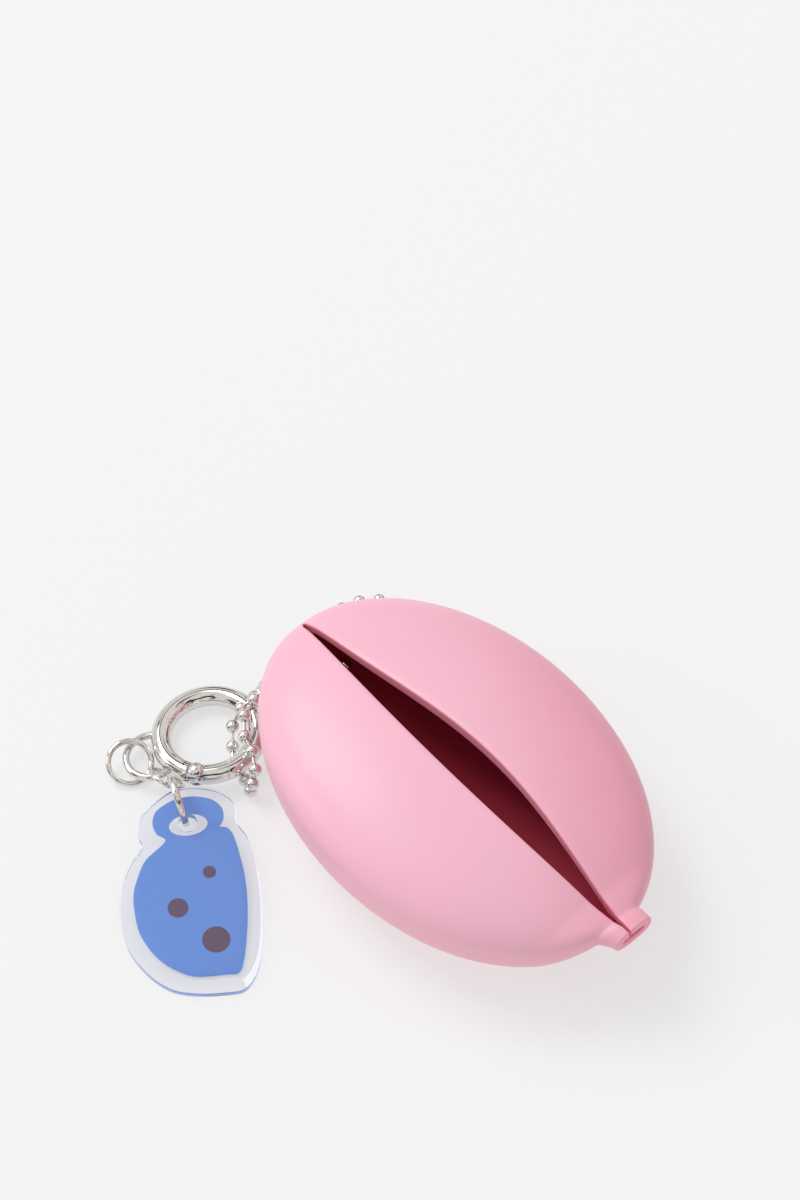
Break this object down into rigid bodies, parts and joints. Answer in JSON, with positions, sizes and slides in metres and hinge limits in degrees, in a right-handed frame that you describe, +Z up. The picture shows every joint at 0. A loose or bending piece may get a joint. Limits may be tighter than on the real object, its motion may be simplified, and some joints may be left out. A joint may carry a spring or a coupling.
{
  "type": "squeeze coin purse",
  "caption": "Soft moulded egg-shaped squeeze coin purse with a lengthwise slit, a ball chain through its tip, a round spring-gate ring and a flat acrylic charm on small rings.",
  "frame": {"origin": "middle of the flat contact patch under the purse, on the table", "axes": "+X along the slit from the tip with the chain to the round nub, +Y across the purse, +Z up from the table"},
  "size_m": [0.0894, 0.0827, 0.0242],
  "materials": {
    "shell": "soft satin vinyl",
    "chain": "pink plated, polished",
    "link_wire": "plated wire",
    "nickel": "polished nickel plating",
    "steel": "bare spring steel",
    "acrylic": "clear laser-cut acrylic",
    "print": "printed ink film"
  },
  "bodies": {
    "purse": {"shell_base": "shell", "anchor_balls": "chain", "anchor_links": "link_wire"},
    "front_side": {"lip_front": "shell"},
    "rear_side": {"lip_rear": "shell"},
    "chain": {"chain_balls": "chain", "chain_links": "link_wire", "chain_coupling": "chain"},
    "ring": {"ring_body": "nickel", "ring_eye": "nickel", "gate_rivet": "nickel"},
    "gate_arm": {"gate": "nickel", "gate_plunger": "steel", "gate_spring": "steel"},
    "spare": {"spare_ring": "nickel"},
    "small_link": {"link_ring": "nickel"},
    "big_link": {"charm_ring": "nickel"},
    "charm": {"charm_plate": "acrylic", "charm_print": "print"}
  },
  "joints": [
    {"name": "front_squeeze", "type": "hinge", "parent": "purse", "child": "front_side", "pos_m": [0, -0.008, 0.0003], "axis": [1, 0, 0], "range_deg": [0, 8], "stiffness_Nm_per_rad": 0.25},
    {"name": "rear_squeeze", "type": "hinge", "parent": "purse", "child": "rear_side", "pos_m": [0, 0.008, 0.0003], "axis": [1, 0, 0], "range_deg": [-8, 0], "stiffness_Nm_per_rad": 0.25},
    {"name": "chain_swing", "type": "hinge", "parent": "purse", "child": "chain", "pos_m": [-0.0366, -0.0032, 0.0085], "axis": [0, 0, 1], "range_deg": [-12, 2]},
    {"name": "ring_flip", "type": "hinge", "parent": "chain", "child": "ring", "pos_m": [-0.03952, -0.01252, 0.00259], "axis": [0.783, -0.6156, 0.0892], "range_deg": [-45, 0]},
    {"name": "gate_push", "type": "hinge", "parent": "ring", "child": "gate_arm", "pos_m": [-0.03343, -0.02732, 0.00328], "axis": [-0.1132, 0, 0.9936], "range_deg": [0, 25], "stiffness_Nm_per_rad": 0.004},
    {"name": "spare_swing", "type": "hinge", "parent": "ring", "child": "spare", "pos_m": [-0.04343, -0.03428, 0.00214], "axis": [0.8868, -0.451, 0.101], "range_deg": [0, 15]},
    {"name": "link_swing", "type": "hinge", "parent": "ring", "child": "small_link", "pos_m": [-0.03734, -0.03166, 0.00284], "axis": [-0.289, -0.9568, -0.0329], "range_deg": [0, 8]},
    {"name": "charm_ring_swing", "type": "hinge", "parent": "small_link", "child": "big_link", "pos_m": [-0.03334, -0.03216, 0.00432], "axis": [-0.4592, -0.6108, 0.6451], "range_deg": [0, 8]},
    {"name": "charm_turn", "type": "hinge", "parent": "big_link", "child": "charm", "pos_m": [-0.02715, -0.0348, 0.00377], "axis": [0.183, -0.1922, 0.9641], "range_deg": [0, 12]}
  ],
  "couplings": [
    {"joint": "rear_squeeze", "follows": "front_squeeze", "ratio": -1}
  ]
}
